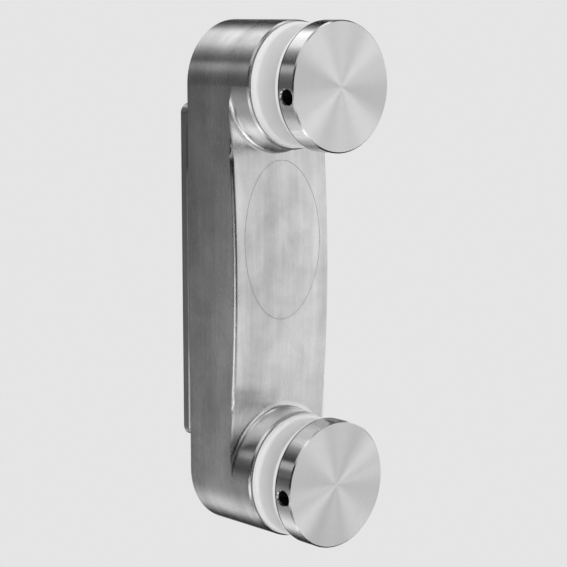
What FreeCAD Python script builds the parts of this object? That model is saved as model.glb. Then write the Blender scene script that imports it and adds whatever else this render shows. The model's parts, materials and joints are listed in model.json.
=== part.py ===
import FreeCAD, Part
import math
import os

# Double point fixing that clamps a pane of glass to a wall or a slab edge.
# Frame, in millimetres: the origin lies on the wall plane, at the middle of the
# two anchor holes, right behind the middle of the oval cover. +Z is up, -Y points
# from the wall to the glass, and +X is to the right for someone who faces the wall.
# Every depth is counted from the wall.

# Cast body: two round bosses on a bar whose front face is crowned
BOSS_RADIUS = 25.0
BOSS_SPACING = 154.0
BOSS_DROP = 16.0
BODY_DEPTH = 36.0
FACE_DEPTH = 28.4
CROWN_RADIUS = 620.0
CROWN_DROP = 13.2
FOOT_ROUND = 2.5
EDGE_ROUND = 1.5
EDGE_ROUND_REACH = 44.0
EDGE_FADE_RADIUS = 80.0
EDGE_LIFT = 0.2
RIM_CHAMFER = 0.6
BACK_CHAMFER = 0.4
LAND_INSET = 1.7
LAND_HEIGHT = 0.5
THREAD_DEPTH = 29.0
DRILL_TIP_ANGLE = 118.0

# Wall plate behind the body, and the two countersunk screws that hold it
PLATE_THICKNESS = 3.5
PLATE_OVERHANG = 0.2
PLATE_HEIGHT = 133.4
PLATE_CORNER = 4.0
PLATE_CHAMFER = 0.4
PLATE_SCREW_SPACING = 104.0
PLATE_SCREW_RADIUS = 2.5
PLATE_SCREW_HEAD_RADIUS = 4.6
PLATE_SCREW_HEAD_HEIGHT = 2.7
PLATE_SCREW_LENGTH = 14.0
PLATE_SCREW_SINK = 0.2
PLATE_SCREW_KEY = 3.0
PLATE_SCREW_KEY_DEPTH = 2.0

# Holes for the wall anchors, at the bottom of the pocket under the oval cover
ANCHOR_HOLE_RADIUS = 5.5
ANCHOR_SPACING = 32.0
WEB_THICKNESS = 10.5

# Oval cover, flush in the front face
COVER_WIDTH = 40.0
COVER_HEIGHT = 63.0
COVER_THICKNESS = 3.0
COVER_SEAM = 0.15
COVER_LEDGE = 2.0
PLUG_LENGTH = 4.5
PLUG_WALL = 3.0
PLUG_CLEARANCE = 0.2
RING_WIDTH = 1.8
RING_STAND = 0.15
RING_SETBACK = 1.4

# Glass clamp at each boss
INNER_GASKET_INSET = 0.8
INNER_GASKET_THICKNESS = 3.5
INNER_GASKET_ROUND = 1.5
OUTER_GASKET_INSET = 1.0
OUTER_GASKET_THICKNESS = 2.3
OUTER_GASKET_CHAMFER = 0.5
SLEEVE_RADIUS = 9.0
SLEEVE_PROJECTION = 5.5
SLEEVE_CHAMFER = 0.5
LOOSE_CLEARANCE = 0.3
DISC_RADIUS = 25.0
DISC_THICKNESS = 8.6
DISC_SKIN = 2.2
DISC_FRONT_CHAMFER = 0.5
DISC_REAR_CHAMFER = 0.5
STUD_RADIUS = 6.0
STUD_LENGTH = 40.0
STUD_CHAMFER = 1.0
THREAD_CLEARANCE = 0.06
SPANNER_HOLE_RADIUS = 3.1
SPANNER_HOLE_SETBACK = 3.8
SPANNER_HOLE_DEPTH = 12.0
SPANNER_HOLE_CHAMFER = 0.4
LOCK_SCREW_RADIUS = 2.5
LOCK_SCREW_LENGTH = 5.0
LOCK_SCREW_TIP = 1.0
LOCK_SCREW_KEY = 2.5
LOCK_SCREW_KEY_DEPTH = 2.0

# As photographed: the lower disc is screwed a little further in
UPPER_GLASS_GAP = 10.0
LOWER_GLASS_GAP = 8.0
UPPER_HOLE_ANGLE = 187.5
LOWER_HOLE_ANGLE = 184.0

UPPER_BOSS = BOSS_SPACING / 2 - BOSS_DROP
LOWER_BOSS = -BOSS_SPACING / 2 - BOSS_DROP
BOSSES = (UPPER_BOSS, LOWER_BOSS)
LAND_RADIUS = BOSS_RADIUS - LAND_INSET
INNER_GASKET_RADIUS = BOSS_RADIUS - INNER_GASKET_INSET
OUTER_GASKET_RADIUS = DISC_RADIUS - OUTER_GASKET_INSET
PLATE_WIDTH = 2 * (BOSS_RADIUS + PLATE_OVERHANG)
BODY_BACK = -PLATE_THICKNESS
BOSS_RIM = BODY_BACK - BODY_DEPTH
CROWN_TOP = BODY_BACK - FACE_DEPTH
LAND_FACE = BOSS_RIM - LAND_HEIGHT
PAD_FACE = LAND_FACE - INNER_GASKET_THICKNESS
POCKET_FLOOR = BODY_BACK - WEB_THICKNESS
MARGIN = 1.0
TOLERANCE = 0.001
X_AXIS = FreeCAD.Vector(1, 0, 0)
Y_AXIS = FreeCAD.Vector(0, 1, 0)


def point(x, y, z):
    return FreeCAD.Vector(x, y, z)


def rod(radius, front, back, z=0.0):
    """Cylinder along Y, from the depth of its front end to that of its back end."""
    return Part.makeCylinder(radius, back - front, point(0, front, z), Y_AXIS)


def cone(front_radius, back_radius, front, back, z=0.0):
    return Part.makeCone(front_radius, back_radius, back - front, point(0, front, z), Y_AXIS)


def turned(outline, z=0.0):
    """Solid of revolution about a Y axis at height z, from (radius, depth) points."""
    corners = [point(radius, depth, z) for radius, depth in outline]
    wire = Part.makePolygon(corners + [corners[0]])
    return Part.Face(wire).revolve(point(0, 0, z), Y_AXIS, 360)


def oval_wire(width, height, depth):
    top = point(0, depth, height / 2)
    right = point(width / 2, depth, 0)
    return Part.Wire(Part.Ellipse(top, right, point(0, depth, 0)).toShape())


def oval_prism(width, height, front, back):
    return Part.Face(oval_wire(width, height, front)).extrude(Y_AXIS * (back - front))


def hexagon_prism(across_flats, length):
    """Hexagonal bar along +Z from the origin."""
    reach = across_flats / math.sqrt(3)
    corners = []
    for step in range(7):
        turn = math.radians(60 * step)
        corners.append(point(reach * math.cos(turn), reach * math.sin(turn), 0))
    return Part.Face(Part.makePolygon(corners)).extrude(point(0, 0, length))


def circle_edges(shape, radius, depth):
    """Edges that lie at one depth and have one radius, for chamfers and rounds."""
    found = []
    for edge in shape.Edges:
        box = edge.BoundBox
        flat = box.YLength < TOLERANCE and abs(box.YMin - depth) < TOLERANCE
        if flat and isinstance(edge.Curve, Part.Circle) and abs(edge.Curve.Radius - radius) < TOLERANCE:
            found.append(edge)
    return found


# Body

def stadium(front, back):
    right_top = point(BOSS_RADIUS, front, UPPER_BOSS)
    left_top = point(-BOSS_RADIUS, front, UPPER_BOSS)
    left_low = point(-BOSS_RADIUS, front, LOWER_BOSS)
    right_low = point(BOSS_RADIUS, front, LOWER_BOSS)
    top = point(0, front, UPPER_BOSS + BOSS_RADIUS)
    low = point(0, front, LOWER_BOSS - BOSS_RADIUS)
    edges = [
        Part.Arc(right_top, top, left_top).toShape(),
        Part.LineSegment(left_top, left_low).toShape(),
        Part.Arc(left_low, low, right_low).toShape(),
        Part.LineSegment(right_low, right_top).toShape(),
    ]
    return Part.Face(Part.Wire(edges)).extrude(Y_AXIS * (back - front))


def boss_rods():
    return [rod(BOSS_RADIUS, BOSS_RIM, BODY_BACK, z) for z in BOSSES]


def crowned_bar():
    """Bar wider than the body, whose front is part of a large cylinder along X."""
    reach = 2 * BOSS_RADIUS
    crown = Part.makeCylinder(
        CROWN_RADIUS, 2 * reach, point(-reach, CROWN_TOP + CROWN_RADIUS, -CROWN_DROP), X_AXIS
    )
    depth = BODY_BACK - CROWN_TOP + MARGIN
    height = BOSS_SPACING + 2 * reach
    slab = Part.makeBox(2 * reach, depth, height, point(-reach, CROWN_TOP - MARGIN, LOWER_BOSS - reach))
    return crown.common(slab)


def foot_edges(shape):
    """The inner corners where the two bosses rise out of the crowned front."""
    found = []
    for edge in shape.Edges:
        box = edge.BoundBox
        if box.YMin < BOSS_RIM + MARGIN or box.YMax > BODY_BACK - MARGIN:
            continue
        for z in BOSSES:
            radii = [math.hypot(p.x, p.z - z) for p in edge.discretize(7)]
            if max(abs(radius - BOSS_RADIUS) for radius in radii) < TOLERANCE:
                found.append(edge)
    return found


def edge_cutters(side):
    """Rounds the long front edge on one side, and fades out towards both bosses."""
    outer = side * BOSS_RADIUS
    inner = side * (BOSS_RADIUS - EDGE_ROUND)
    beyond = side * (BOSS_RADIUS + MARGIN)
    slant = EDGE_ROUND / math.sqrt(2)
    arc_middle = point(inner + side * slant, CROWN_TOP + EDGE_ROUND - slant, -CROWN_DROP)
    top_inner = point(inner, CROWN_TOP, -CROWN_DROP)
    low_outer = point(outer, CROWN_TOP + EDGE_ROUND, -CROWN_DROP)
    corners = [
        top_inner,
        point(inner, CROWN_TOP - MARGIN, -CROWN_DROP),
        point(beyond, CROWN_TOP - MARGIN, -CROWN_DROP),
        point(beyond, CROWN_TOP + EDGE_ROUND, -CROWN_DROP),
        low_outer,
    ]
    edges = [Part.LineSegment(a, b).toShape() for a, b in zip(corners, corners[1:])]
    edges.append(Part.Arc(low_outer, arc_middle, top_inner).toShape())
    profile = Part.Face(Part.Wire(edges))
    centre = point(0, CROWN_TOP + CROWN_RADIUS, -CROWN_DROP)
    swing = math.asin(EDGE_ROUND_REACH / CROWN_RADIUS)
    turn = math.degrees(swing)
    fade = math.degrees(math.acos(1 - (EDGE_ROUND + EDGE_LIFT) / EDGE_FADE_RADIUS))
    reach = CROWN_RADIUS + EDGE_FADE_RADIUS
    cutters = []
    for way in (1, -1):
        axis = X_AXIS * -way
        cutters.append(profile.revolve(centre, axis, turn))
        end = profile.copy()
        end.rotate(centre, axis, turn)
        fade_centre = centre + point(0, -reach * math.cos(swing), way * reach * math.sin(swing))
        cutters.append(end.revolve(fade_centre, axis * -1, fade))
    return cutters


def threaded_bore(z):
    """Blind hole for the stud, with the cone that the drill leaves."""
    radius = STUD_RADIUS + THREAD_CLEARANCE
    bottom = LAND_FACE + THREAD_DEPTH
    tip = radius / math.tan(math.radians(DRILL_TIP_ANGLE / 2))
    outline = [(0, LAND_FACE), (radius, LAND_FACE), (radius, bottom), (0, bottom + tip)]
    mouth = cone(radius + STUD_CHAMFER, radius, LAND_FACE, LAND_FACE + STUD_CHAMFER, z)
    return turned(outline, z).fuse(mouth)


def plate_screw_heights():
    return [PLATE_SCREW_SPACING / 2 - CROWN_DROP, -PLATE_SCREW_SPACING / 2 - CROWN_DROP]


def anchor_heights():
    return [ANCHOR_SPACING / 2, -ANCHOR_SPACING / 2]


def cast_body():
    core = crowned_bar().fuse(boss_rods()).removeSplitter()
    core = core.makeFillet(FOOT_ROUND, foot_edges(core))
    core = core.common(stadium(BOSS_RIM, BODY_BACK)).Solids[0]
    core = core.cut(edge_cutters(1) + edge_cutters(-1))
    rims = circle_edges(core, BOSS_RADIUS, BOSS_RIM)
    core = core.makeChamfer(RIM_CHAMFER, rims)
    back = [edge for edge in core.Edges if edge.BoundBox.YMin > BODY_BACK - TOLERANCE]
    core = core.makeChamfer(BACK_CHAMFER, back)
    lands = [rod(LAND_RADIUS, LAND_FACE, BOSS_RIM + MARGIN, z) for z in BOSSES]
    return core.fuse(lands)


def cover_pocket():
    """Recess for the oval cover, and the deeper pocket for the heads of the anchors."""
    seat = CROWN_TOP + COVER_THICKNESS
    recess = oval_prism(COVER_WIDTH, COVER_HEIGHT, BOSS_RIM, seat)
    ledge = 2 * COVER_LEDGE
    well = oval_prism(COVER_WIDTH - ledge, COVER_HEIGHT - ledge, BOSS_RIM, POCKET_FLOOR)
    return recess.fuse(well)


def body():
    shape = cast_body()
    cuts = [cover_pocket()]
    cuts += [threaded_bore(z) for z in BOSSES]
    cuts += [rod(ANCHOR_HOLE_RADIUS, POCKET_FLOOR - MARGIN, 0, z) for z in anchor_heights()]
    screw_end = -PLATE_SCREW_SINK - PLATE_SCREW_LENGTH
    cuts += [rod(PLATE_SCREW_RADIUS, screw_end, 0, z) for z in plate_screw_heights()]
    return shape.cut(cuts)


# Wall plate and its screws

def wall_plate():
    half = PLATE_WIDTH / 2
    plate = Part.makeBox(
        PLATE_WIDTH, PLATE_THICKNESS, PLATE_HEIGHT, point(-half, BODY_BACK, -CROWN_DROP - PLATE_HEIGHT / 2)
    )
    corners = [edge for edge in plate.Edges if edge.BoundBox.YLength > PLATE_THICKNESS / 2]
    plate = plate.makeFillet(PLATE_CORNER, corners)
    front = [edge for edge in plate.Edges if edge.BoundBox.YMax < BODY_BACK + TOLERANCE]
    plate = plate.makeChamfer(PLATE_CHAMFER, front)
    cuts = [rod(ANCHOR_HOLE_RADIUS, BODY_BACK - MARGIN, MARGIN, z) for z in anchor_heights()]
    for z in plate_screw_heights():
        cuts.append(rod(PLATE_SCREW_RADIUS, BODY_BACK - MARGIN, MARGIN, z))
        cuts.append(screw_head(z))
        cuts.append(rod(PLATE_SCREW_HEAD_RADIUS, -PLATE_SCREW_SINK, MARGIN, z))
    return plate.cut(cuts)


def screw_head(z):
    back = -PLATE_SCREW_SINK
    front = back - PLATE_SCREW_HEAD_HEIGHT
    return cone(PLATE_SCREW_RADIUS, PLATE_SCREW_HEAD_RADIUS, front, back, z)


def plate_screw(z):
    back = -PLATE_SCREW_SINK
    shank = rod(PLATE_SCREW_RADIUS, back - PLATE_SCREW_LENGTH, back, z)
    key = hexagon_prism(PLATE_SCREW_KEY, PLATE_SCREW_KEY_DEPTH)
    key.rotate(point(0, 0, 0), X_AXIS, 90)
    key.translate(point(0, back, z))
    return shank.fuse(screw_head(z)).removeSplitter().cut(key)


# Oval cover

def plug_size():
    inset = 2 * (COVER_LEDGE + PLUG_CLEARANCE)
    return COVER_WIDTH - inset, COVER_HEIGHT - inset


def ring_floor():
    """How far the floor of the ring's groove lies inside the plug's side."""
    return RING_WIDTH + RING_STAND - PLUG_CLEARANCE


def plug_ring(outer_inset, inner_inset):
    """Oval ring round the plug; both insets are counted inwards from the plug's side."""
    width, height = plug_size()
    front = CROWN_TOP + COVER_THICKNESS + RING_SETBACK
    back = front + RING_WIDTH
    outer = oval_prism(width - 2 * outer_inset, height - 2 * outer_inset, front, back)
    inner = oval_prism(width - 2 * inner_inset, height - 2 * inner_inset, front, back)
    return outer.cut(inner)


def oval_cover():
    """Flush oval plate with the same crowned front as the body, on a hollow plug."""
    seat = CROWN_TOP + COVER_THICKNESS
    seam = 2 * COVER_SEAM
    plate = oval_prism(COVER_WIDTH - seam, COVER_HEIGHT - seam, BOSS_RIM, seat)
    width, height = plug_size()
    wall = 2 * PLUG_WALL
    plug = oval_prism(width, height, seat - MARGIN, seat + PLUG_LENGTH)
    hollow = oval_prism(width - wall, height - wall, seat, seat + PLUG_LENGTH + MARGIN)
    plate = plate.common(crowned_bar())
    groove = plug_ring(-MARGIN, ring_floor())
    return plate.fuse(plug).cut([hollow, groove]).removeSplitter()


def cover_ring():
    """Square sealing ring that stands proud of its groove and just clears the well."""
    return plug_ring(RING_STAND - PLUG_CLEARANCE, ring_floor())


# Glass clamps

def inner_gasket(z):
    """Soft pad on the boss, with a rounded front rim."""
    ring = rod(INNER_GASKET_RADIUS, PAD_FACE, LAND_FACE, z)
    ring = ring.makeFillet(INNER_GASKET_ROUND, circle_edges(ring, INNER_GASKET_RADIUS, PAD_FACE))
    return ring.cut(rod(SLEEVE_RADIUS, PAD_FACE - MARGIN, LAND_FACE + MARGIN, z))


def glass_sleeve(z):
    """Hard collar that keeps the stud off the edge of the hole in the glass."""
    front = PAD_FACE - SLEEVE_PROJECTION
    collar = rod(SLEEVE_RADIUS, front, LAND_FACE, z)
    collar = collar.makeChamfer(SLEEVE_CHAMFER, circle_edges(collar, SLEEVE_RADIUS, front))
    return collar.cut(rod(STUD_RADIUS + LOOSE_CLEARANCE, front - MARGIN, LAND_FACE + MARGIN, z))


def outer_gasket(z, gap):
    back = PAD_FACE - gap
    front = back - OUTER_GASKET_THICKNESS
    ring = rod(OUTER_GASKET_RADIUS, front, back, z)
    ring = ring.makeChamfer(OUTER_GASKET_CHAMFER, circle_edges(ring, OUTER_GASKET_RADIUS, back))
    return ring.cut(rod(STUD_RADIUS + LOOSE_CLEARANCE, front - MARGIN, back + MARGIN, z))


def disc_front(gap):
    return PAD_FACE - gap - OUTER_GASKET_THICKNESS - DISC_THICKNESS


def stud(z, gap):
    front = disc_front(gap) + DISC_SKIN
    back = front + STUD_LENGTH
    shank = rod(STUD_RADIUS, front, back, z)
    ends = circle_edges(shank, STUD_RADIUS, front) + circle_edges(shank, STUD_RADIUS, back)
    return shank.makeChamfer(STUD_CHAMFER, ends)


def radial(shape, z, gap, angle):
    """Turns a shape built along +Z so that it points out of the disc's rim at an angle."""
    shape.rotate(point(0, 0, 0), Y_AXIS, 90 - angle)
    shape.translate(point(0, disc_front(gap) + SPANNER_HOLE_SETBACK, z))
    return shape


def spanner_hole(z, gap, angle):
    """Hole for the pin spanner, with the threaded hole of the lock screw at its end."""
    floor = DISC_RADIUS - SPANNER_HOLE_DEPTH
    wide = Part.makeCylinder(SPANNER_HOLE_RADIUS, SPANNER_HOLE_DEPTH + MARGIN, point(0, 0, floor))
    mouth = Part.makeCone(
        SPANNER_HOLE_RADIUS,
        SPANNER_HOLE_RADIUS + SPANNER_HOLE_CHAMFER + MARGIN,
        SPANNER_HOLE_CHAMFER + MARGIN,
        point(0, 0, DISC_RADIUS - SPANNER_HOLE_CHAMFER),
    )
    narrow = Part.makeCylinder(LOCK_SCREW_RADIUS, floor - STUD_RADIUS / 2, point(0, 0, STUD_RADIUS / 2))
    return radial(wide.fuse([mouth, narrow]), z, gap, angle)


def clamp_disc(z, gap, angle):
    front = disc_front(gap)
    back = front + DISC_THICKNESS
    disc = rod(DISC_RADIUS, front, back, z)
    disc = disc.makeChamfer(DISC_FRONT_CHAMFER, circle_edges(disc, DISC_RADIUS, front))
    disc = disc.makeChamfer(DISC_REAR_CHAMFER, circle_edges(disc, DISC_RADIUS, back))
    socket = rod(STUD_RADIUS, front + DISC_SKIN, back + MARGIN, z)
    return disc.cut([socket, spanner_hole(z, gap, angle)])


def lock_screw(z, gap, angle):
    """Grub screw that pins the disc to its stud; its cone ends on the stud's side."""
    tip = Part.makeCone(LOCK_SCREW_RADIUS - LOCK_SCREW_TIP, LOCK_SCREW_RADIUS, LOCK_SCREW_TIP)
    shank = Part.makeCylinder(
        LOCK_SCREW_RADIUS, LOCK_SCREW_LENGTH - LOCK_SCREW_TIP, point(0, 0, LOCK_SCREW_TIP)
    )
    key = hexagon_prism(LOCK_SCREW_KEY, LOCK_SCREW_KEY_DEPTH)
    key.translate(point(0, 0, LOCK_SCREW_LENGTH - LOCK_SCREW_KEY_DEPTH))
    screw = tip.fuse(shank).removeSplitter().cut(key)
    screw.translate(point(0, 0, STUD_RADIUS))
    return radial(screw, z, gap, angle)


def clamp(side, z, gap, angle):
    return {
        side + "_inner_gasket": inner_gasket(z),
        side + "_glass_sleeve": glass_sleeve(z),
        side + "_outer_gasket": outer_gasket(z, gap),
        side + "_stud": stud(z, gap),
        side + "_clamp_disc": clamp_disc(z, gap, angle),
        side + "_lock_screw": lock_screw(z, gap, angle),
    }


def all_nodes():
    upper_screw, lower_screw = plate_screw_heights()
    nodes = {
        "body": body(),
        "wall_plate": wall_plate(),
        "upper_plate_screw": plate_screw(upper_screw),
        "lower_plate_screw": plate_screw(lower_screw),
        "oval_cover": oval_cover(),
        "cover_ring": cover_ring(),
    }
    nodes.update(clamp("upper", UPPER_BOSS, UPPER_GLASS_GAP, UPPER_HOLE_ANGLE))
    nodes.update(clamp("lower", LOWER_BOSS, LOWER_GLASS_GAP, LOWER_HOLE_ANGLE))
    return nodes


def main():
    os.makedirs("parts", exist_ok=True)
    for name, shape in all_nodes().items():
        shape.exportStep("parts/" + name + ".step")
        print(name, len(shape.Solids), "solid,", round(shape.Volume, 1), "mm3, valid:", shape.isValid())


main()
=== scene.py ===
# %% [markdown]
# A double point fixing for glass, dressed for a product photograph.
#
# The solids come from the frame: a cast steel body, an oval cover, and a disc on a
# threaded stud at each end that clamps a pane between two soft pads. This lesson
# gives each surface its finish, models the few pieces that need more than a solid,
# and lights the whole as a studio would.

import json
import math

import bpy
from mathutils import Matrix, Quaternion, Vector

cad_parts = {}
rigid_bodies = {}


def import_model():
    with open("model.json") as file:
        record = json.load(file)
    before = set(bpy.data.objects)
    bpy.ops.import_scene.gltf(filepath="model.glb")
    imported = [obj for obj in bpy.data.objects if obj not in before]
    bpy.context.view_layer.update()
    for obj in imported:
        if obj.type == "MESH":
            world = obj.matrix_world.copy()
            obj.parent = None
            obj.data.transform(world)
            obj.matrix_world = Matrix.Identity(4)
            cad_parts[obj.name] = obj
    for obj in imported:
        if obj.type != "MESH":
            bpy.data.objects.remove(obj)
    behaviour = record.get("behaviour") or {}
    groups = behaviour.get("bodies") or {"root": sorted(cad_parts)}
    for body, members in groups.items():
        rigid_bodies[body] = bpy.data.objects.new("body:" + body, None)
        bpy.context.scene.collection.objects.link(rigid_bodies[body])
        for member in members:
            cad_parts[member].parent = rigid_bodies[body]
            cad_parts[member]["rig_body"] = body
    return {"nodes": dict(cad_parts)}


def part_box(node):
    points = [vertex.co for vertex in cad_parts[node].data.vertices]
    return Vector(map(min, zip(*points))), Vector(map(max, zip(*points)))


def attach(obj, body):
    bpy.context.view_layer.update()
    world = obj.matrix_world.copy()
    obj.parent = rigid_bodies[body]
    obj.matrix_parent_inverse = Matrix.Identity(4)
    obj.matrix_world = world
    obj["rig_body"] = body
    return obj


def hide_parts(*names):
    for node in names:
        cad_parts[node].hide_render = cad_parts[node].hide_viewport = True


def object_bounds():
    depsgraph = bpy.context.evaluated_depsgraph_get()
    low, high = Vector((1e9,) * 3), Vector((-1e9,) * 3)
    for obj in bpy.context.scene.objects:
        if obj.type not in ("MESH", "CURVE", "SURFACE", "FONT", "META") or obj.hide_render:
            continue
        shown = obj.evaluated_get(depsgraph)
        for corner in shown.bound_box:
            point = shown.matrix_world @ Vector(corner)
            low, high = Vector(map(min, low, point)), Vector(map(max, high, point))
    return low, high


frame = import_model()
cad_low, cad_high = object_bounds()
nodes = frame["nodes"]
print("nodes:", ", ".join(sorted(nodes)))
print("size in mm:", [round(1000 * side, 1) for side in cad_high - cad_low])

# %% [markdown]
# Shader graphs are written here as short sentences. One helper adds a node, sets its
# options, and fills or links its inputs. It saves a dozen lines for each material,
# and what remains to read is the recipe itself.

# %% Helpers for node graphs
MM = 0.001
FLOAT = "NodeSocketFloat"
VECTOR = "NodeSocketVector"


def put(tree, kind, inputs=None, **options):
    """Adds a node; a value given for an input is set, a socket is linked."""
    node = tree.nodes.new(kind)
    for name, value in options.items():
        setattr(node, name, value)
    for name, value in (inputs or {}).items():
        if isinstance(value, bpy.types.NodeSocket):
            tree.links.new(value, node.inputs[name])
        else:
            node.inputs[name].default_value = value
    return node


def maths(tree, operation, first, *others):
    """The same sum on two values or more, one node after the other."""
    for other in others or (0.0,):
        node = put(tree, "ShaderNodeMath", {0: first, 1: other}, operation=operation)
        first = node.outputs[0]
    return first


def vectors(tree, operation, first, second=(0.0, 0.0, 0.0)):
    """A sum on vectors; lengths and dot products come out as plain numbers."""
    node = put(tree, "ShaderNodeVectorMath", {0: first, 1: second}, operation=operation)
    return node.outputs["Value" if operation in ("DOT_PRODUCT", "LENGTH") else "Vector"]


def parts(tree, vector):
    """The X, Y and Z of a vector."""
    return put(tree, "ShaderNodeSeparateXYZ", {0: vector}).outputs


def new_group(name, inputs, outputs):
    """An empty shader node group; each input is a name with its type and default."""
    tree = bpy.data.node_groups.new(name, "ShaderNodeTree")
    for label, kind, value in inputs:
        socket = tree.interface.new_socket(label, in_out="INPUT", socket_type=kind)
        socket.default_value = value
    for label, kind in outputs:
        tree.interface.new_socket(label, in_out="OUTPUT", socket_type=kind)
    given = tree.nodes.new("NodeGroupInput").outputs
    result = tree.nodes.new("NodeGroupOutput").inputs
    return tree, given, result


def put_group(tree, group, inputs):
    """Adds a group and gives its outputs."""
    return put(tree, "ShaderNodeGroup", inputs, node_tree=group).outputs


print("node helpers ready")

# %% [markdown]
# Polished steel has almost no colour of its own: what we see is the room. So the
# studio is built first, and it is drawn on the sky as soft rectangles of light, each
# with a direction, a width, a height and a soft edge. Lamps would do too, but a
# drawn panel never stands in front of the camera when the view goes round.

# %% A soft rectangle of light
LEAST_DEPTH = 0.01


def light_panel_group():
    tree, given, result = new_group(
        "light_panel",
        [
            ("Direction", VECTOR, (0, 0, 1)),
            ("Toward", VECTOR, (0, 0, 1)),
            ("Across", VECTOR, (1, 0, 0)),
            ("Half Width", FLOAT, 0.5),
            ("Half Height", FLOAT, 0.5),
            ("Softness", FLOAT, 0.1),
            ("Strength", FLOAT, 1.0),
        ],
        [("Light", FLOAT)],
    )
    facing = vectors(tree, "DOT_PRODUCT", given["Direction"], given["Toward"])
    depth = maths(tree, "MAXIMUM", facing, LEAST_DEPTH)
    upward = vectors(tree, "CROSS_PRODUCT", given["Toward"], given["Across"])
    light = maths(tree, "GREATER_THAN", facing, 0.0)
    for axis, half in ((given["Across"], given["Half Width"]), (upward, given["Half Height"])):
        aside = vectors(tree, "DOT_PRODUCT", given["Direction"], axis)
        edge = put(
            tree,
            "ShaderNodeMapRange",
            {
                "Value": maths(tree, "ABSOLUTE", maths(tree, "DIVIDE", aside, depth)),
                "From Min": maths(tree, "SUBTRACT", half, given["Softness"]),
                "From Max": maths(tree, "ADD", half, given["Softness"]),
                "To Min": 1.0,
                "To Max": 0.0,
            },
            interpolation_type="SMOOTHSTEP",
        )
        light = maths(tree, "MULTIPLY", light, edge.outputs["Result"])
    tree.links.new(maths(tree, "MULTIPLY", light, given["Strength"]), result["Light"])
    return tree


LIGHT_PANEL = light_panel_group()
print("light panel group:", len(LIGHT_PANEL.nodes), "nodes")

# %% [markdown]
# The panels hang in two sets. Those in front are placed by how far they are turned
# to the right and how high they rise; the flat faces mirror them, and the last one
# lights the back of the plate. The others stand behind, in a fan about the line of
# the studs: the round bosses and disc rims mirror each of them as one band along the
# metal, so the fan decides where the bands fall.

# %% Where the light panels hang
SOFT_EDGE = 0.10
FRONT_PANELS = (
    # turn and rise of the middle and half the width and height, in degrees; strength
    (88, 0, 16, 30, 0.91),
    (58, 0, 14, 30, 0.97),
    (30, 0, 14, 22, 0.75),
    (12, -10, 8, 16, 0.54),
    (10, 38, 18, 14, 1.02),
    (-30, 42, 20, 16, 0.63),
    (0, -48, 16, 16, 1.69),
    (-38, -48, 20, 16, 0.12),
    (-66, 14, 9, 14, 0.30),
    (-26, -24, 14, 9, 0.80),
    (-66, -20, 11, 13, 1.90),
    (-84, -20, 9, 13, 0.80),
    (-108, -22, 12, 9, 0.40),
    (-90, -60, 20, 14, 1.01),
    (77, 46, 20, 14, 0.13),
    (0, 80, 30, 10, 1.29),
    (135, -14, 14, 10, 1.10),
)

FAN_OPENING = math.radians(42.0)
FAN_STRIP = (0.088, 0.55)
FAN_SOFT_EDGE = 0.05
FAN_PANELS = (
    # angle about the studs, from the right upwards, in degrees; strength
    (15, 0.41),
    (60, 0.24),
    (75, 1.41),
    (90, 1.03),
    (105, 0.83),
    (120, 0.18),
    (135, 0.05),
    (150, 0.40),
    (165, 0.12),
    (180, 0.09),
    (195, 0.24),
    (210, 0.22),
    (225, 0.24),
    (240, 0.40),
    (255, 0.77),
    (270, 0.91),
    (285, 0.21),
)


def compass(turn, rise):
    """A direction from its turn to the right of straight ahead and its rise."""
    turn, rise = math.radians(turn), math.radians(rise)
    level = math.cos(rise)
    return Vector((math.sin(turn) * level, -math.cos(turn) * level, math.sin(rise)))


def panel_places():
    """Each panel's middle, level direction, half width, half height, softness, strength."""
    places = []
    for turn, rise, wide, high, strength in FRONT_PANELS:
        middle, across = compass(turn, rise), compass(turn + 90, 0)
        size = math.tan(math.radians(wide)), math.tan(math.radians(high))
        places.append((middle, across, *size, SOFT_EDGE, strength))
    backwards = Vector((0, 1, 0))
    for angle, strength in FAN_PANELS:
        around = Vector((math.cos(math.radians(angle)), 0, math.sin(math.radians(angle))))
        middle = around * math.sin(FAN_OPENING) + backwards * math.cos(FAN_OPENING)
        across = around.cross(backwards)
        places.append((middle, across, *FAN_STRIP, FAN_SOFT_EDGE, strength))
    return places


print(len(FRONT_PANELS), "panels in front and", len(FAN_PANELS), "in the fan")

# %% [markdown]
# Only mirror rays see the panels. Dull surfaces take their light from an even tent,
# which is cheaper to render than panels and leaves no noise. The camera sees neither:
# it looks past the fixing at pale paper.

# %% Build the studio
PAPER = 0.7835
TENT_LIGHT = 0.95
WHITE = (1.0, 1.0, 1.0, 1.0)


def build_studio():
    world = bpy.data.worlds.new("studio")
    bpy.context.scene.world = world
    world.cycles.sampling_method = "NONE"
    world.use_nodes = True
    tree = world.node_tree
    tree.nodes.clear()
    direction = put(tree, "ShaderNodeTexCoord").outputs["Generated"]
    total = 0.0
    for toward, across, wide, high, soft, strength in panel_places():
        aim = {"Direction": direction, "Toward": toward, "Across": across}
        size = {"Half Width": wide, "Half Height": high, "Softness": soft}
        panel = put_group(tree, LIGHT_PANEL, {**aim, **size, "Strength": strength})
        total = maths(tree, "ADD", panel["Light"], total)

    def glow(strength):
        background = put(tree, "ShaderNodeBackground", {"Color": WHITE, "Strength": strength})
        return background.outputs[0]

    def choose(ray, otherwise, then):
        return put(tree, "ShaderNodeMixShader", {0: ray, 1: otherwise, 2: then}).outputs[0]

    ray = put(tree, "ShaderNodeLightPath").outputs
    room = choose(ray["Is Glossy Ray"], glow(TENT_LIGHT), glow(total))
    all_light = choose(ray["Is Camera Ray"], room, glow(PAPER))
    put(tree, "ShaderNodeOutputWorld", {"Surface": all_light})
    return tree


studio = build_studio()
print("studio:", len(studio.nodes), "nodes")

# %% [markdown]
# The floor is pale paper, far enough below to hold no shadow, and as bright as the
# backdrop, so that no horizon shows. Mirrors ignore it: the panels light the steel.

# %% Lay the floor
FLOOR_DROP = 30 * MM
FLOOR_SIZE = 6.0


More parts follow.
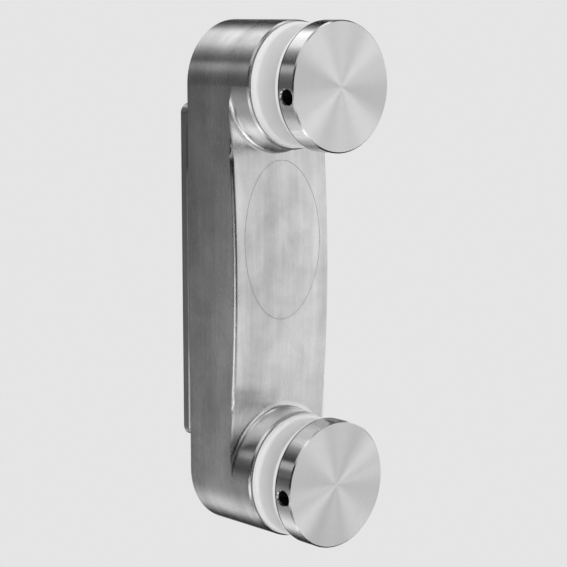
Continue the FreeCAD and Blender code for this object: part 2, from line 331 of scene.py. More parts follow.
def lay_floor():
    bpy.ops.object.select_all(action="DESELECT")
    height = cad_low.z - FLOOR_DROP
    bpy.ops.mesh.primitive_plane_add(size=FLOOR_SIZE, location=(0, 0, height))
    floor = bpy.context.object
    floor.name = "floor"
    floor.visible_glossy = False
    material = bpy.data.materials.new("pale_paper")
    material.use_nodes = True
    tree = material.node_tree
    tree.nodes.clear()
    glow = put(tree, "ShaderNodeEmission", {"Strength": PAPER})
    put(tree, "ShaderNodeOutputMaterial", {"Surface": glow.outputs[0]})
    floor.data.materials.append(material)
    return height


print("floor at", round(1000 * lay_floor()), "mm")

# %% [markdown]
# The camera stands to the left of the fixing and a little above it, with a long lens,
# as the converging edges in the photograph say. Its place is given from the front of
# the discs, half way between the two clamps. It looks a little past that point, by
# the two small shifts.

# %% Place the camera
AZIMUTH = math.radians(-42.59)
ELEVATION = math.radians(8.75)
ROLL = math.radians(-0.09)
DISTANCE = 684.2 * MM
SHIFT_RIGHT = -21.9 * MM
SHIFT_UP = 2.4 * MM
LENS = 113.8


def place_camera():
    level = math.cos(ELEVATION)
    back = Vector((math.sin(AZIMUTH) * level, -math.cos(AZIMUTH) * level, math.sin(ELEVATION)))
    right = Vector((math.cos(AZIMUTH), math.sin(AZIMUTH), 0))
    upward = back.cross(right)
    upper_low, upper_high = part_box("upper_clamp_disc")
    lower_low, lower_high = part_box("lower_clamp_disc")
    height = (upper_low.z + upper_high.z + lower_low.z + lower_high.z) / 4
    target = Vector((0, upper_low.y, height))
    data = bpy.data.cameras.new("camera")
    data.lens = LENS
    camera = bpy.data.objects.new("camera", data)
    bpy.context.collection.objects.link(camera)
    camera.location = target + back * DISTANCE + right * SHIFT_RIGHT + upward * SHIFT_UP
    camera.rotation_mode = "QUATERNION"
    aim = (-back).to_track_quat("-Z", "Y")
    camera.rotation_quaternion = aim @ Quaternion((0, 0, 1), ROLL)
    bpy.context.scene.camera = camera
    return camera


camera = place_camera()
bpy.context.scene.view_settings.view_transform = "Standard"
print("camera at", [round(1000 * value) for value in camera.location], "mm")

# %% [markdown]
# Brushed steel: a belt runs lengthways over the body and leaves fine scratches, all
# one way. Up close they are tiny grooves, and from a step away they spread each
# reflection across the grain. Two things make that: an anisotropic shader, whose
# tangent lies across the grain, and a stretched noise for the scratches that the
# eye can still make out. Softer clouds stand for the marks of hands and cloths. Both
# patterns are groups, because every metal here uses them.

# %% Scratches and smudges as shared groups
SCRATCHES = (("Fine", 1.0), ("Deep", 0.22), ("Broad", 0.04))
LINES_PER_METRE = 2200.0
RUNS_PER_METRE = 40.0
LEAST_RUNS = 0.3
LAYER_STEP = 7.0


def brush_marks_group():
    """Stretched noise: fine across the grain, long with it, on any two coordinates."""
    tree, given, result = new_group(
        "brush_marks",
        [
            ("Across", FLOAT, 0.0),
            ("Along", FLOAT, 0.0),
            ("Lines", FLOAT, LINES_PER_METRE),
            ("Runs", FLOAT, RUNS_PER_METRE),
        ],
        [(label, FLOAT) for label, share in SCRATCHES],
    )
    for label, share in SCRATCHES:
        lines = maths(tree, "MULTIPLY", given["Lines"], share)
        runs = maths(tree, "MULTIPLY", given["Runs"], share + LEAST_RUNS)
        stretched = {
            "X": maths(tree, "MULTIPLY", given["Across"], lines),
            "Y": maths(tree, "MULTIPLY", given["Along"], runs),
            "Z": LAYER_STEP * share,
        }
        place = put(tree, "ShaderNodeCombineXYZ", stretched).outputs[0]
        look = {"Vector": place, "Scale": 1.0, "Detail": 2.0, "Roughness": 0.6}
        noise = put(tree, "ShaderNodeTexNoise", look)
        tree.links.new(noise.outputs["Fac"], result[label])
    return tree


def smudges_group():
    """Soft clouds of a given size."""
    tree, given, result = new_group(
        "smudges",
        [("Vector", VECTOR, (0, 0, 0)), ("Size", FLOAT, 0.02)],
        [("Mark", FLOAT)],
    )
    scale = maths(tree, "DIVIDE", 1.0, given["Size"])
    look = {"Scale": scale, "Detail": 3.0, "Roughness": 0.55, "Distortion": 0.4}
    noise = put(tree, "ShaderNodeTexNoise", {"Vector": given["Vector"], **look})
    tree.links.new(noise.outputs["Fac"], result["Mark"])
    return tree


BRUSH_MARKS = brush_marks_group()
SMUDGES = smudges_group()
print("shared groups:", [group.name for group in bpy.data.node_groups])

# %% [markdown]
# A mask is a number from 0 to 1 that tells one place on a piece from another. Here
# each mask is a soft step, which rises where some measure passes an edge. Masks
# could be painted by hand, but these follow from the shape, so nothing has to be
# unwrapped.

# %% Soft steps and other small words for materials
def zone_group():
    tree, given, result = new_group(
        "zone",
        [("Value", FLOAT, 0.0), ("Edge", FLOAT, 0.0), ("Softness", FLOAT, 0.001)],
        [("Inside", FLOAT)],
    )
    step = put(
        tree,
        "ShaderNodeMapRange",
        {
            "Value": given["Value"],
            "From Min": maths(tree, "SUBTRACT", given["Edge"], given["Softness"]),
            "From Max": maths(tree, "ADD", given["Edge"], given["Softness"]),
        },
        interpolation_type="SMOOTHSTEP",
    )
    tree.links.new(step.outputs["Result"], result["Inside"])
    return tree


ZONE = zone_group()


def zone(tree, value, edge, softness):
    """A soft step from 0 to 1 where the value passes the edge."""
    given = {"Value": value, "Edge": edge, "Softness": softness}
    return put_group(tree, ZONE, given)["Inside"]


def blend(tree, amount, first, second):
    """The first value where the amount is 0, the second where it is 1."""
    mix = put(tree, "ShaderNodeMix", {"Factor": amount, "A": first, "B": second})
    return mix.outputs["Result"]


def spread(tree, mark, low, high):
    """Maps a mark from 0..1 to a range."""
    given = {"Value": mark, "To Min": low, "To Max": high}
    return put(tree, "ShaderNodeMapRange", given, clamp=False).outputs["Result"]


def smudge(tree, place, size):
    """The mark of clouds of this size."""
    return put_group(tree, SMUDGES, {"Vector": place, "Size": size})["Mark"]


def grey(tree, value):
    channels = {"Red": value, "Green": value, "Blue": value}
    return put(tree, "ShaderNodeCombineColor", channels).outputs[0]


def place_on(tree):
    return put(tree, "ShaderNodeTexCoord").outputs["Object"]


def normal_of(tree):
    return put(tree, "ShaderNodeNewGeometry").outputs["Normal"]


def new_material(name):
    """A material with its graph and its shader."""
    material = bpy.data.materials.new(name)
    material.use_nodes = True
    tree = material.node_tree
    return material, tree, tree.nodes["Principled BSDF"]


print("zone group:", len(ZONE.nodes), "nodes")

# %% [markdown]
# The finish isn't the same all over the casting. No belt reaches the walls and rounds
# at the foot of the bosses, so they are polished with a small wheel: whatever stands
# in front of the crowned face is polished, and is painted brighter as well, a painted
# highlight for the glow those walls reflect. Where the casting turns over at the ends,
# and on every other round, the belt bends and smooths the metal. Low down, the side
# edges carry a painted highlight, a bright line where the round edge catches the
# light. Higher up they carry a painted dark line, painted shade on the edge, and the
# corner behind each pad holds a dark line of painted shadow. Near the wall the steel
# is painted darker, as painted shade.

# %% Where the finish changes
CROWN_MIDDLE = -13.2 * MM  # height of the middle of the crowned face
CROWN_RADIUS = 620 * MM
LARGEST_FALL = 1.9 * MM  # how far the face falls back on its way to a boss
FRONT_SLOPE = 0.7  # a normal steeper than this along Y faces the front or the wall
SIDE_SLOPE = 0.97  # and one steeper than this along X faces a side

# each pair is the edge of a soft step, and half the width over which it rises
POLISHED_DEPTH = (32.5 * MM, 0.4 * MM)
POLISHED_END = (70 * MM, 4 * MM)
ROUND_SLOPE = (0.25, 0.15)
# the bright line along the lower side edges is a painted highlight
PAINTED_HIGHLIGHT_EDGE = (24.0 * MM, 0.3 * MM)
PAINTED_HIGHLIGHT_START = (36 * MM, 14 * MM)
# the dark line along the upper side edges is painted shade
SHADED_EDGE_SIDE = (24.2 * MM, 0.5 * MM)
SHADED_EDGE_START = (40 * MM, 3 * MM)
SHADED_EDGE_END = (60 * MM, 8 * MM)
# the steel is painted darker near the wall: painted shade
WALL_SHADE_DEPTH = (10 * MM, 10 * MM)
# painted shadow in the corner behind each pad
CORNER_SHADE_DEPTH = (39.72 * MM, 0.05 * MM)


def finish_masks(tree, at, slope):
    """A mask for each change of finish and each place of painted light or shade, from the parts of
    a place and of its normal.
    """
    aside = maths(tree, "ABSOLUTE", at["X"])
    from_wall = maths(tree, "MULTIPLY", at["Y"], -1.0)
    above = maths(tree, "SUBTRACT", at["Z"], CROWN_MIDDLE)
    below = maths(tree, "MULTIPLY", above, -1.0)
    from_middle = maths(tree, "ABSOLUTE", above)
    square = maths(tree, "MULTIPLY", from_middle, from_middle)
    fall = maths(tree, "MINIMUM", maths(tree, "DIVIDE", square, 2 * CROWN_RADIUS), LARGEST_FALL)
    in_front = zone(tree, maths(tree, "ADD", fall, from_wall), *POLISHED_DEPTH)
    on_bar = maths(tree, "SUBTRACT", 1.0, zone(tree, from_middle, *POLISHED_END))
    faces_front = maths(tree, "GREATER_THAN", maths(tree, "ABSOLUTE", slope["Y"]), FRONT_SLOPE)
    off_side = maths(tree, "LESS_THAN", maths(tree, "ABSOLUTE", slope["X"]), SIDE_SLOPE)
    # painted highlight: the lower side edges, on faces that face the front
    painted_highlight = zone(tree, aside, *PAINTED_HIGHLIGHT_EDGE), zone(tree, below, *PAINTED_HIGHLIGHT_START), faces_front
    # painted shade: a dark line along the upper side edges
    edge_shade_run = maths(
        tree, "SUBTRACT", zone(tree, above, *SHADED_EDGE_START), zone(tree, above, *SHADED_EDGE_END)
    )
    return {
        "faces_front": faces_front,
        "polished": maths(tree, "MULTIPLY", in_front, on_bar),
        "on_round": zone(tree, maths(tree, "ABSOLUTE", slope["Z"]), *ROUND_SLOPE),
        "painted_highlight": maths(tree, "MULTIPLY", *painted_highlight),
        "painted_edge_shade": maths(tree, "MULTIPLY", edge_shade_run, off_side, zone(tree, aside, *SHADED_EDGE_SIDE)),
        "clear_of_wall_shade": zone(tree, from_wall, *WALL_SHADE_DEPTH),
        "painted_corner_shade": zone(tree, from_wall, *CORNER_SHADE_DEPTH),
    }


print("finish changes at", [round(1000 * edge) for edge, _ in (POLISHED_DEPTH, CORNER_SHADE_DEPTH)], "mm")

# %% [markdown]
# The grain runs up and down the bar, so the tangent of the shader lies across it:
# level on every wall, and along the bosses where they turn over at the ends and where
# the wheel went round them. The scratches vary the tone, two sizes of cloud and some
# broad streaks are laid over them, and a very shallow bump catches the light. The
# cover has the same finish as the body, because both are brushed together once the
# cover is in place. The plate behind them is a duller sheet, cut and left as it is.

# %% Brushed steel for the body, cover and plate
TOP_SLOPE = 0.95
LARGE_CLOUD = 30 * MM
SMALL_CLOUD = 9 * MM
BUMP_DEPTH = 0.1 * MM
BELT_BUMP = 0.05
# the polished walls are painted brighter: a painted highlight for their glow
POLISHED_GLOW_TONE = 0.95
POLISHED_ROUGHNESS = 0.30
ROUND_SMOOTHNESS = 0.9
ROUND_LIFT = 0.06
# tone of the painted highlight along the lower side edges
PAINTED_HIGHLIGHT_TONE = 1.0
# tone of the painted shade along the upper side edges
SHADED_EDGE_TONE = 0.25
# tone of the painted shadow behind each pad
CORNER_SHADE_TONE = 0.06
# share of the tone left by the painted shade near the wall
WALL_SHADE_SHARE = 0.78
SCRATCH_DULLING = 0.05
CLOUD_DULLING = 0.08


def grain_across(tree, normal, slope, on):
    """The direction across the grain."""
    on_top = maths(tree, "GREATER_THAN", maths(tree, "ABSOLUTE", slope["Z"]), TOP_SLOPE)
    wheeled = maths(tree, "SUBTRACT", on["polished"], on["faces_front"])
    on_arch = maths(tree, "GREATER_THAN", wheeled, 0.5)
    level = vectors(tree, "CROSS_PRODUCT", normal, (0, 0, 1))
    ways = {"Factor": maths(tree, "MAXIMUM", on_top, on_arch), "A": level, "B": (0, 1, 0)}
    return put(tree, "ShaderNodeMix", ways, data_type="VECTOR").outputs["Result"]


def brushed_steel(name, tone, roughness, anisotropy, contrast, clouds):
    material, tree, shader = new_material(name)
    place, normal = place_on(tree), normal_of(tree)
    at, slope = parts(tree, place), parts(tree, normal)
    on = finish_masks(tree, at, slope)
    across = blend(tree, on["faces_front"], at["Y"], at["X"])
    marks = put_group(tree, BRUSH_MARKS, {"Across": across, "Along": at["Z"]})
    large, small = smudge(tree, place, LARGE_CLOUD), smudge(tree, place, SMALL_CLOUD)
    bent_belt = maths(tree, "MULTIPLY", on["on_round"], ROUND_SMOOTHNESS)
    smooth = maths(tree, "MAXIMUM", on["polished"], bent_belt)

    scratches = maths(
        tree, "ADD",
        spread(tree, marks["Fine"], -contrast, contrast),
        spread(tree, marks["Deep"], -contrast, contrast),
    )
    shade = maths(
        tree, "ADD",
        blend(tree, smooth, scratches, 0.0),
        spread(tree, large, -clouds, clouds),
        spread(tree, small, -clouds / 2, clouds / 2),
        spread(tree, marks["Broad"], -clouds, clouds),
        # the polished zone takes a brighter tone, a painted highlight
        blend(tree, on["polished"], tone, POLISHED_GLOW_TONE),
        maths(tree, "MULTIPLY", on["on_round"], ROUND_LIFT),
    )
    # painted highlight along the lower side edges
    shade = blend(tree, on["painted_highlight"], shade, PAINTED_HIGHLIGHT_TONE)
    # painted shade along the upper side edges
    shade = blend(tree, on["painted_edge_shade"], shade, SHADED_EDGE_TONE)
    # painted shade: darker towards the wall
    shade = maths(tree, "MULTIPLY", shade, spread(tree, on["clear_of_wall_shade"], WALL_SHADE_SHARE, 1.0))
    # painted shadow of the gap behind each pad
    shade = blend(tree, on["painted_corner_shade"], shade, CORNER_SHADE_TONE)
    tree.links.new(grey(tree, shade), shader.inputs["Base Color"])

    scratched = spread(tree, marks["Fine"], -SCRATCH_DULLING, SCRATCH_DULLING)
    clouded = spread(tree, large, roughness - CLOUD_DULLING, roughness + CLOUD_DULLING)
    dullness = maths(tree, "ADD", blend(tree, smooth, scratched, 0.0), clouded)
    dullness = blend(tree, on["polished"], dullness, POLISHED_ROUGHNESS)
    tree.links.new(dullness, shader.inputs["Roughness"])

    grooves = blend(tree, smooth, maths(tree, "ADD", marks["Fine"], marks["Deep"]), 1.0)
    carved = {"Height": grooves, "Strength": BELT_BUMP, "Distance": BUMP_DEPTH}
    tree.links.new(put(tree, "ShaderNodeBump", carved).outputs[0], shader.inputs["Normal"])
    tree.links.new(grain_across(tree, normal, slope, on), shader.inputs["Tangent"])
    shader.inputs["Metallic"].default_value = 1.0
    shader.inputs["Anisotropic"].default_value = anisotropy
    return material


def dress(node_names, material):
    """Puts one material on nodes of the frame."""
    for name in node_names:
        nodes[name].data.materials.clear()
        nodes[name].data.materials.append(material)


dress(["body", "oval_cover"], brushed_steel(
    "brushed_steel", tone=0.68, roughness=0.27, anisotropy=0.8, contrast=0.07, clouds=0.24
))
dress(["wall_plate"], brushed_steel(
    "plate_steel", tone=0.50, roughness=0.32, anisotropy=0.6, contrast=0.12, clouds=0.06
))
dress(["upper_plate_screw", "lower_plate_screw"], brushed_steel(
    "screw_steel", tone=0.62, roughness=0.25, anisotropy=0.3, contrast=0.06, clouds=0.04
))
print("brushed:", [material.name for material in bpy.data.materials])

# %% [markdown]
# The discs come from a lathe. The tool leaves rings, too fine to see one by one, and
# they draw each lamp out into two bright wedges that meet at the middle. A picture of
# wedges would stand still when the view turns. An anisotropic shader whose tangent
# points away from the stud makes them from the lamps, as the metal does. The rim is
# smoother than the face. The inside of the spanner hole is painted dark, as painted
# shade in the recess, and is left rough; the back edge of the rim, where it meets the
# pad, is painted dark too, a painted shadow of the gap.

# %% Turned steel for the discs
FACE_SLOPE = 0.9
RING_LINES = 6000.0
RING_RUNS = 1.2
RING_BUMP = 0.02
DISC_CLOUD = 14 * MM
RING_DULLING = 0.02
CLOUD_TONE = 0.10
HAND_DULLING = 0.05
RIM_TONE = 0.92
RIM_ROUGHNESS = 0.17
RIM_RADIUS = 24.3 * MM
RIM_SOFTNESS = 0.2 * MM
HOLE_MARGIN = 1.6 * MM
HOLE_SOFTNESS = 0.1 * MM
# painted shade in the spanner hole and painted shadow along the back edge of the rim
HOLE_SHADE_TONE = 0.02
HOLE_ROUGHNESS = 0.6
BACK_EDGE_SHADE_DEPTH = 0.95 * MM


def turned_steel(name, height, back, front, tone, roughness, contrast):
    """Steel turned about the stud at this height, on a disc from back to front."""
    material, tree, shader = new_material(name)
    place, normal = place_on(tree), normal_of(tree)
    centred = vectors(tree, "SUBTRACT", place, (0, 0, height))
    outward = vectors(tree, "MULTIPLY", centred, (1, 0, 1))
    radius = vectors(tree, "LENGTH", outward)
    depth = parts(tree, place)["Y"]
    turn = parts(tree, vectors(tree, "NORMALIZE", outward))["X"]
    rings = {"Across": maths(tree, "ADD", radius, depth), "Along": turn}
    marks = put_group(tree, BRUSH_MARKS, {**rings, "Lines": RING_LINES, "Runs": RING_RUNS})
    cloud = smudge(tree, place, DISC_CLOUD)
    facing = maths(tree, "ABSOLUTE", parts(tree, normal)["Y"])
    on_face = maths(tree, "GREATER_THAN", facing, FACE_SLOPE)

    past_rim = zone(tree, radius, RIM_RADIUS, RIM_SOFTNESS)
    past_front = zone(tree, depth, front + HOLE_MARGIN, HOLE_SOFTNESS)
    past_back = zone(tree, depth, back - HOLE_MARGIN, HOLE_SOFTNESS)
    in_hole = maths(
        tree, "MULTIPLY",
        maths(tree, "SUBTRACT", 1.0, past_rim),
        maths(tree, "SUBTRACT", past_front, past_back),
    )
    shade = maths(
        tree, "ADD",
        spread(tree, marks["Fine"], -contrast, contrast),
        spread(tree, marks["Deep"], -contrast / 3, contrast / 3),
        spread(tree, cloud, -CLOUD_TONE, CLOUD_TONE),
        blend(tree, on_face, RIM_TONE, tone),
    )
    # painted shade inside the spanner hole
    shade = blend(tree, in_hole, shade, HOLE_SHADE_TONE)
    # painted shadow of the gap along the back edge of the rim, by the pad
    at_back = zone(tree, depth, back - BACK_EDGE_SHADE_DEPTH, HOLE_SOFTNESS)
    shade = blend(tree, at_back, shade, HOLE_SHADE_TONE)
    tree.links.new(grey(tree, shade), shader.inputs["Base Color"])

    dullness = maths(
        tree, "ADD",
        spread(tree, on_face, RIM_ROUGHNESS, roughness),
        spread(tree, marks["Deep"], -RING_DULLING, RING_DULLING),
        spread(tree, cloud, -HAND_DULLING, HAND_DULLING),
    )
    dullness = blend(tree, in_hole, dullness, HOLE_ROUGHNESS)
    tree.links.new(dullness, shader.inputs["Roughness"])

    carved = {"Height": marks["Fine"], "Strength": RING_BUMP, "Distance": BUMP_DEPTH}
    tree.links.new(put(tree, "ShaderNodeBump", carved).outputs[0], shader.inputs["Normal"])
    round_way = vectors(tree, "CROSS_PRODUCT", outward, (0, 1, 0))
    away = vectors(tree, "CROSS_PRODUCT", round_way, normal)
    tree.links.new(away, shader.inputs["Tangent"])
    shader.inputs["Metallic"].default_value = 1.0
    shader.inputs["Anisotropic"].default_value = 1.0
    return material


SIDES = ("upper", "lower")
STUD_HEIGHT = {}
for side in SIDES:
    low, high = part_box(side + "_stud")
    STUD_HEIGHT[side] = (low.z + high.z) / 2
    low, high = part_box(side + "_clamp_disc")
    dress([side + "_clamp_disc"], turned_steel(
        side + "_turned_steel", STUD_HEIGHT[side], back=high.y, front=low.y,
        tone=0.85, roughness=0.33, contrast=0.06,
    ))
print("stud heights in mm:", [round(1000 * height, 2) for height in STUD_HEIGHT.values()])

# %% [markdown]
# The small parts are rolled, moulded or cut, with no grain to speak of. One recipe
# serves the metals and another the soft materials, each with a faint cloud in tone
# and shine. The pads are of a clear rubber that looks milky: light goes about a
# millimetre into it, which subsurface scattering gives. Their flat faces lie in the
# gap behind the discs, so they are painted a little greyer than the moulded rounds,
# as painted shade.

# %% Plain finishes for the small parts
METAL_CLOUD = 3 * MM
SOFT_CLOUD = 6 * MM
FAINT = 0.08
FAINTER = 0.03
FLAT_FACE = (0.9, 0.08)
MOULD_GRAIN = 2500.0
MOULD_BUMP = 0.05


def plain_metal(name, tone, roughness):
    material, tree, shader = new_material(name)
    cloud = smudge(tree, place_on(tree), METAL_CLOUD)
    shade = spread(tree, cloud, tone - FAINT, tone + FAINT)
    dullness = spread(tree, cloud, roughness - FAINT, roughness + FAINT)
    tree.links.new(grey(tree, shade), shader.inputs["Base Color"])
    tree.links.new(dullness, shader.inputs["Roughness"])
    shader.inputs["Metallic"].default_value = 1.0
    return material


def soft_material(name, tone, shaded_face_tone, roughness, glow_depth):
    material, tree, shader = new_material(name)
    place = place_on(tree)
    cloud = smudge(tree, place, SOFT_CLOUD)
    facing = maths(tree, "ABSOLUTE", parts(tree, normal_of(tree))["Y"])
    # flat faces take the second tone: painted shade from the disc in front
    on_face = zone(tree, facing, *FLAT_FACE)
    shade = maths(
        tree, "ADD",
        spread(tree, cloud, -FAINTER, FAINTER),
        spread(tree, on_face, tone, shaded_face_tone),
    )
    dullness = spread(tree, cloud, roughness - FAINT, roughness + FAINT)
    tree.links.new(grey(tree, shade), shader.inputs["Base Color"])
    tree.links.new(dullness, shader.inputs["Roughness"])
    look = {"Vector": place, "Scale": MOULD_GRAIN, "Detail": 1.0}
    grain = put(tree, "ShaderNodeTexNoise", look).outputs["Fac"]
    carved = {"Height": grain, "Strength": MOULD_BUMP, "Distance": BUMP_DEPTH}
    tree.links.new(put(tree, "ShaderNodeBump", carved).outputs[0], shader.inputs["Normal"])
    shader.inputs["Subsurface Weight"].default_value = 1.0 if glow_depth else 0.0
    shader.inputs["Subsurface Scale"].default_value = glow_depth
    shader.inputs["Subsurface Radius"].default_value = (1, 1, 1)
    return material


# the second tone is the painted shade of the pads' flat faces
MILKY = soft_material("milky_rubber", 0.90, 0.86, roughness=0.40, glow_depth=1 * MM)
NYLON = soft_material("white_nylon", 0.80, 0.80, roughness=0.35, glow_depth=1 * MM)
BLACK_RUBBER = soft_material("black_rubber", 0.05, 0.05, roughness=0.55, glow_depth=0.0)
THREAD_STEEL = plain_metal("rolled_thread_steel", 0.62, 0.28)
dress(["upper_lock_screw", "lower_lock_screw"], plain_metal("dark_screw_steel", 0.20, 0.40))
print("materials:", len(bpy.data.materials))

# %% [markdown]
# Every piece modelled from here on is handled in the same way. It starts with nothing
# selected. Its place, turn and size are put into its mesh, and it is shaded smooth
# but for its sharp edges. Then it takes the place of its solid and rides on the same
# body.

# %% Handling a new piece
SHARP_ANGLE = math.radians(35)


def start_clean():
    if bpy.context.object and bpy.context.object.mode != "OBJECT":
        bpy.ops.object.mode_set(mode="OBJECT")
    bpy.ops.object.select_all(action="DESELECT")


def settle(piece):
    """Puts the piece's place, turn and size into its mesh."""
    bpy.ops.object.mode_set(mode="OBJECT")
    bpy.ops.object.select_all(action="DESELECT")
    piece.select_set(True)
    bpy.context.view_layer.objects.active = piece
    bpy.ops.object.transform_apply(location=True, rotation=True, scale=True)


def select_edges(piece, wanted):
    """In edit mode, selects only the edges whose two ends both satisfy the test."""
    bpy.ops.object.mode_set(mode="OBJECT")
    mesh = piece.data
    chosen = {vertex.index for vertex in mesh.vertices if wanted(vertex.co)}
    for face in mesh.polygons:
        face.select = False
    for vertex in mesh.vertices:
        vertex.select = False
    for edge in mesh.edges:
        edge.select = edge.vertices[0] in chosen and edge.vertices[1] in chosen
    bpy.ops.object.mode_set(mode="EDIT")
    bpy.ops.mesh.select_mode(type="EDGE")


def finish_piece(piece, node_name, material):
    """Smooths, dresses and mounts a finished piece in place of its node."""
    settle(piece)
    bpy.ops.object.shade_smooth_by_angle(angle=SHARP_ANGLE)
    piece.data.materials.clear()
    piece.data.materials.append(material)
    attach(piece, nodes[node_name]["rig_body"])
    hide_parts(node_name)
    print(piece.name, len(piece.data.polygons), "faces")


print("ready for new pieces")

# %% [markdown]
# The pads that grip the glass are rings moulded from a clear rubber. They are soft,
# so a plain solid looks wrong: their edges are rounded and light goes a little way
# into them. A ring could be spun from a profile. Here a circle is pushed inwards to
# a flat washer, the washer is pushed forward to its thickness, and the outer edges
# are bevelled, which is quicker to follow and leaves even faces. The nylon collars
# that keep the studs off the glass are made in the same way.

# %% Pads and collars
RING_SIDES = 128
NEAR_RADIUS = 0.05 * MM
NEAR_FACE = 0.01 * MM
COLLAR_BORE = 6.3 * MM
PAD_ROUND = 1.4 * MM
SMALL_ROUND = 0.45 * MM


def make_ring(name, height, outer, inner, back, front, rounds):
    """A ring about a stud. rounds lists (radius, y, size, segments) of each edge to round."""
    start_clean()
    bpy.ops.mesh.primitive_circle_add(
        vertices=RING_SIDES, radius=outer, rotation=(math.pi / 2, 0, 0)
    )
    ring = bpy.context.object
    ring.name = name
    ring.location = (0, back, height)
    settle(ring)
    bpy.ops.object.mode_set(mode="EDIT")
    bpy.ops.mesh.select_all(action="SELECT")
    bpy.ops.mesh.extrude_region_move()
    bpy.ops.transform.resize(
        value=(inner / outer, 1, inner / outer), center_override=(0, back, height)
    )
    bpy.ops.mesh.select_all(action="SELECT")
    bpy.ops.mesh.extrude_region_move(TRANSFORM_OT_translate={"value": (0, front - back, 0)})
    bpy.ops.mesh.select_all(action="SELECT")
    bpy.ops.mesh.normals_make_consistent(inside=False)
    for radius, y, size, segments in rounds:
        def on_edge(co, radius=radius, y=y):
            distance = math.hypot(co.x, co.z - height)
            return abs(distance - radius) < NEAR_RADIUS and abs(co.y - y) < NEAR_FACE
        select_edges(ring, on_edge)
        bpy.ops.mesh.bevel(offset=size, segments=segments, affect="EDGES")
    bpy.ops.object.mode_set(mode="OBJECT")
    return ring


def radii(node_name):
    """The outer radius, the back and the front of a round node about a stud."""
    low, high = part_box(node_name)
    return (high.z - low.z) / 2, high.y, low.y


for side in SIDES:
    height = STUD_HEIGHT[side]
    collar_radius = radii(side + "_glass_sleeve")[0]
    outer, back, front = radii(side + "_inner_gasket")
    rounds = [(outer, front, PAD_ROUND, 6), (outer, back, SMALL_ROUND, 3)]
    pad = make_ring(side + "_inner_pad", height, outer, collar_radius, back, front, rounds)
    finish_piece(pad, side + "_inner_gasket", MILKY)

    outer, back, front = radii(side + "_outer_gasket")
    rounds = [(outer, front, SMALL_ROUND, 4), (outer, back, SMALL_ROUND, 4)]
    pad = make_ring(side + "_outer_pad", height, outer, COLLAR_BORE, back, front, rounds)
    finish_piece(pad, side + "_outer_gasket", MILKY)

    outer, back, front = radii(side + "_glass_sleeve")
    rounds = [(outer, front, SMALL_ROUND, 2), (COLLAR_BORE, front, SMALL_ROUND / 2, 1)]
    collar = make_ring(side + "_collar", height, outer, COLLAR_BORE, back, front, rounds)
    finish_piece(collar, side + "_glass_sleeve", NYLON)

# %% [markdown]
# A stud is a rod with a rolled thread. Its thread is one notch of profile, wound
# along a screw line: the Screw modifier does just that. The coarse thread of this
# size climbs 1.75 mm a turn. The wound strip is cut square at both ends, the cuts are
# filled, and the last half millimetre is drawn in, so that the thread starts easily.

# %% Threaded studs
THREAD_PITCH = 1.75 * MM
THREAD_DEPTH = 1.0 * MM
CREST_FLAT = THREAD_PITCH / 8
ROOT_FLAT = THREAD_PITCH / 4
STEPS_PER_TURN = 32
SPARE_TURNS = 3
SAME_PLACE = 0.001 * MM
TAPER_LENGTH = 0.6 * MM
TAPER_SHARE = 0.87


def apply_modifier(piece, kind, **options):
    bpy.ops.object.select_all(action="DESELECT")
    piece.select_set(True)
    bpy.context.view_layer.objects.active = piece
    modifier = piece.modifiers.new(kind.lower(), kind)
    for name, value in options.items():
        setattr(modifier, name, value)
    bpy.ops.object.modifier_apply(modifier=modifier.name)


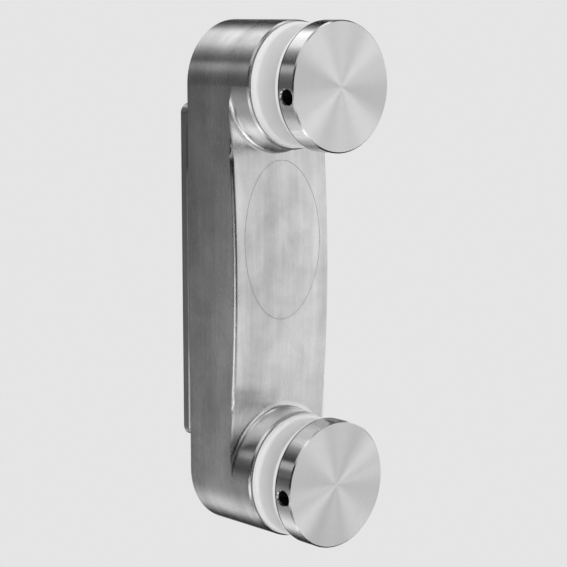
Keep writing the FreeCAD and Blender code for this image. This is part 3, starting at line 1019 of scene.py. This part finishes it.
def wind_thread(name, radius, length):
    """A threaded rod along Z, from 0 to its length."""
    start_clean()
    root = radius - THREAD_DEPTH
    flank = (THREAD_PITCH - CREST_FLAT - ROOT_FLAT) / 2
    bpy.ops.mesh.primitive_plane_add(size=MM, location=(root, 0, -THREAD_PITCH))
    thread = bpy.context.object
    thread.name = name
    settle(thread)
    bpy.ops.object.mode_set(mode="EDIT")
    bpy.ops.mesh.select_mode(type="VERT")
    bpy.ops.mesh.select_all(action="SELECT")
    bpy.ops.mesh.merge(type="CENTER")
    up, down = (THREAD_DEPTH, 0, flank), (-THREAD_DEPTH, 0, flank)
    for step in ((0, 0, ROOT_FLAT), up, (0, 0, CREST_FLAT), down):
        bpy.ops.mesh.extrude_region_move(TRANSFORM_OT_translate={"value": step})
    bpy.ops.object.mode_set(mode="OBJECT")
    apply_modifier(
        thread, "SCREW", axis="Z", angle=math.tau, screw_offset=THREAD_PITCH,
        iterations=math.ceil(length / THREAD_PITCH) + SPARE_TURNS,
        steps=STEPS_PER_TURN, render_steps=STEPS_PER_TURN,
        use_merge_vertices=True, merge_threshold=SAME_PLACE, use_normal_calculate=True,
    )
    bpy.ops.object.mode_set(mode="EDIT")
    for height, keep_above in ((0.0, True), (length, False)):
        bpy.ops.mesh.select_all(action="SELECT")
        bpy.ops.mesh.bisect(
            plane_co=(0, 0, height), plane_no=(0, 0, 1), use_fill=True,
            clear_inner=keep_above, clear_outer=not keep_above, threshold=SAME_PLACE,
        )
    bpy.ops.mesh.select_all(action="SELECT")
    bpy.ops.mesh.remove_doubles(threshold=SAME_PLACE)
    bpy.ops.mesh.normals_make_consistent(inside=False)
    bpy.ops.object.mode_set(mode="OBJECT")
    return thread


def taper_ends(stud, length):
    for end in (0.0, length):
        select_edges(stud, lambda co: abs(co.z - end) < TAPER_LENGTH)
        bpy.ops.transform.resize(
            value=(TAPER_SHARE, TAPER_SHARE, 1), center_override=(0, 0, end)
        )
    bpy.ops.object.mode_set(mode="OBJECT")


for side in SIDES:
    low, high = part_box(side + "_stud")
    length = high.y - low.y
    stud = wind_thread(side + "_threaded_stud", (high.z - low.z) / 2, length)
    taper_ends(stud, length)
    stud.rotation_euler = (-math.pi / 2, 0, 0)
    stud.location = (0, low.y, STUD_HEIGHT[side])
    settle(stud)
    finish_piece(stud, side + "_stud", THREAD_STEEL)

# %% [markdown]
# The oval cover is held by the grip of a rubber ring that sits in a groove of its
# plug. A ring like this is a cord of round section, so it is drawn as a curve in the
# shape of the oval and given a round bevel, and only then made a mesh.

# %% Sealing ring of the cover
SEAL_STEPS = 24
SEAL_ROUNDNESS = 4


def make_seal():
    low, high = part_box("cover_ring")
    cord_radius = (high.y - low.y) / 2
    half = (high - low) / 2
    start_clean()
    bpy.ops.curve.primitive_bezier_circle_add(radius=1.0, rotation=(math.pi / 2, 0, 0))
    seal = bpy.context.object
    seal.name = "cover_seal"
    seal.scale = (half.x - cord_radius, half.z - cord_radius, 1.0)
    seal.location = (low + high) / 2
    bpy.ops.object.transform_apply(location=True, rotation=True, scale=True)
    seal.data.resolution_u = SEAL_STEPS
    seal.data.bevel_depth = cord_radius
    seal.data.bevel_resolution = SEAL_ROUNDNESS
    bpy.ops.object.convert(target="MESH")
    finish_piece(bpy.context.object, "cover_ring", BLACK_RUBBER)


make_seal()
